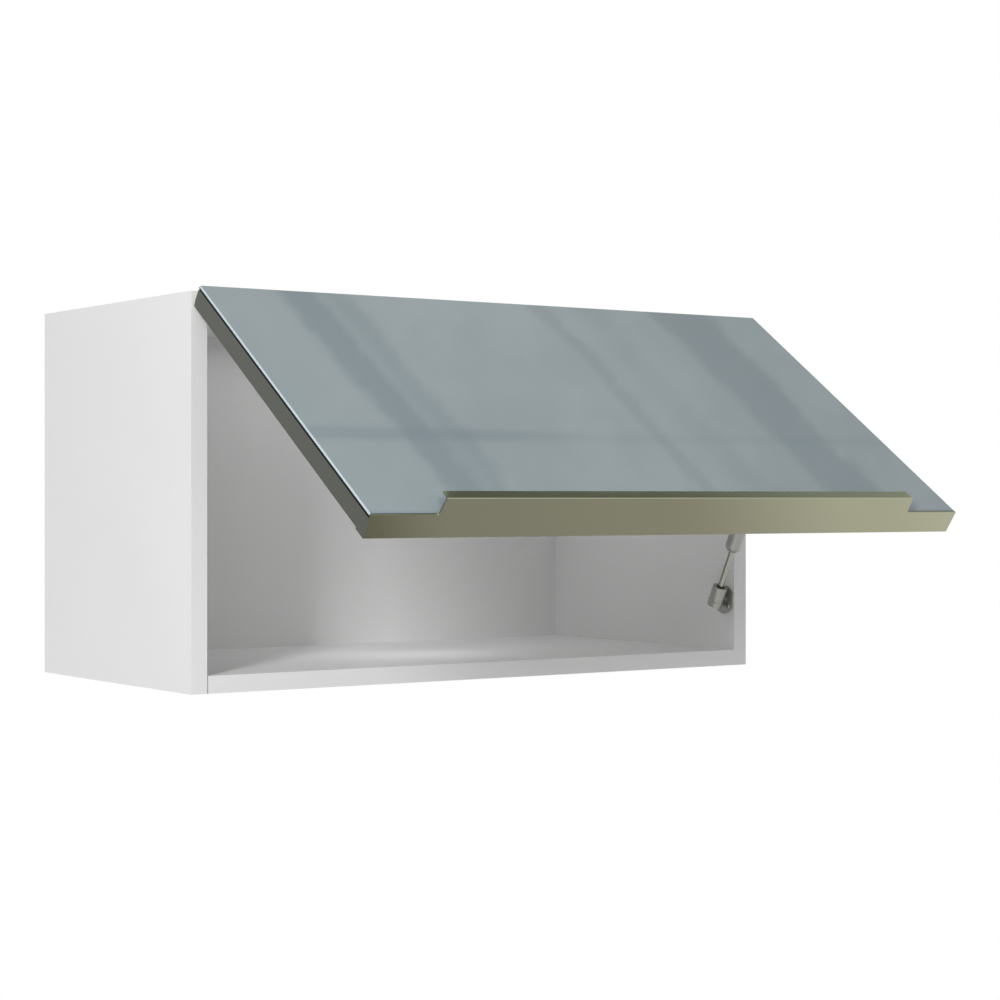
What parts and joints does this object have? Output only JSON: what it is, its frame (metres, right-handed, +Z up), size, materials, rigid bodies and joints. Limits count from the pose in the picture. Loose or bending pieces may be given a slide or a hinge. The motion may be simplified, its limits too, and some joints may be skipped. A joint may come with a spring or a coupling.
{
  "type": "lift up wall cabinet",
  "caption": "White box wall cabinet with a glass-fronted flap door that lifts on top hinges, a metal finger pull along its lower edge and a gas strut.",
  "frame": {"origin": "middle of the rear face of the carcass, on the wall", "axes": "+X to the cabinet's right as seen from the front, +Y into the wall, +Z up"},
  "size_m": [0.65, 0.6321, 0.3635],
  "materials": {
    "white_board": "white melamine faced particle board, fine satin",
    "white_back": "thin white lacquered fibre board",
    "white_band": "white edging",
    "dowel_wood": "plain beech",
    "zinc": "cast zinc, satin",
    "steel": "zinc plated steel",
    "nickel": "nickel plated steel",
    "strut_metal": "satin grey metal",
    "rod_steel": "ground and polished steel",
    "dark_seal": "black rubber",
    "door_core": "dark faced particle board",
    "champagne": "satin champagne anodised",
    "bond": "black bonding layer",
    "blue_glass": "back painted blue grey glass, polished",
    "clear_bumper": "clear soft plastic"
  },
  "bodies": {
    "carcass": {"left_side_panel": "white_board", "right_side_panel": "white_board", "top_panel": "white_board", "bottom_panel": "white_board", "back_panel": "white_back", "front_edge_bands": "white_band", "wooden_dowels": "dowel_wood", "cam_housings": "zinc", "cam_bolts": "steel", "wall_brackets": "steel", "wall_bracket_screws": "steel", "back_panel_screws": "steel", "hinge_mounting_plates": "nickel", "mounting_plate_screws": "steel", "hinge_arms": "nickel", "hinge_adjusting_screws": "steel", "strut_base_plate": "strut_metal", "strut_base_screws": "steel", "lower_ball_stud": "steel"},
    "door": {"hinge_cups": "nickel", "hinge_cup_screws": "steel", "hinge_pins": "steel", "door_board": "door_core", "door_edge_trims": "champagne", "bonding_layer": "bond", "glass_front": "blue_glass", "pull_profile": "champagne", "pull_profile_screws": "champagne", "door_bumpers": "clear_bumper", "strut_door_bracket": "nickel", "door_bracket_screws": "steel"},
    "strut_rod": {"lower_socket": "strut_metal", "lower_socket_clip": "steel", "piston_rod": "rod_steel", "piston": "dark_seal"},
    "strut_tube": {"pressure_tube": "strut_metal", "rod_guide": "dark_seal", "upper_socket": "strut_metal", "upper_socket_clip": "steel", "upper_ball_stud": "steel"}
  },
  "joints": [
    {"name": "door_lift", "type": "hinge", "parent": "carcass", "child": "door", "pos_m": [0, -0.3328, 0.1712], "axis": [-1, 0, 0], "range_deg": [-55.1, 0]},
    {"name": "strut_swing", "type": "hinge", "parent": "carcass", "child": "strut_rod", "pos_m": [0.2975, -0.3054, -0.1105], "axis": [1, 0, 0], "range_deg": [-27.66, 0.05]},
    {"name": "strut_stroke", "type": "slide", "parent": "strut_rod", "child": "strut_tube", "axis": [0, -0.4387, 0.8986], "range_m": [-0.04065, 0.0001]}
  ],
  "couplings": [
    {"joint": "strut_swing", "follows": "door_lift", "ratio": 0.50109},
    {"joint": "strut_stroke", "follows": "door_lift", "m_per_rad": 0.042059}
  ]
}
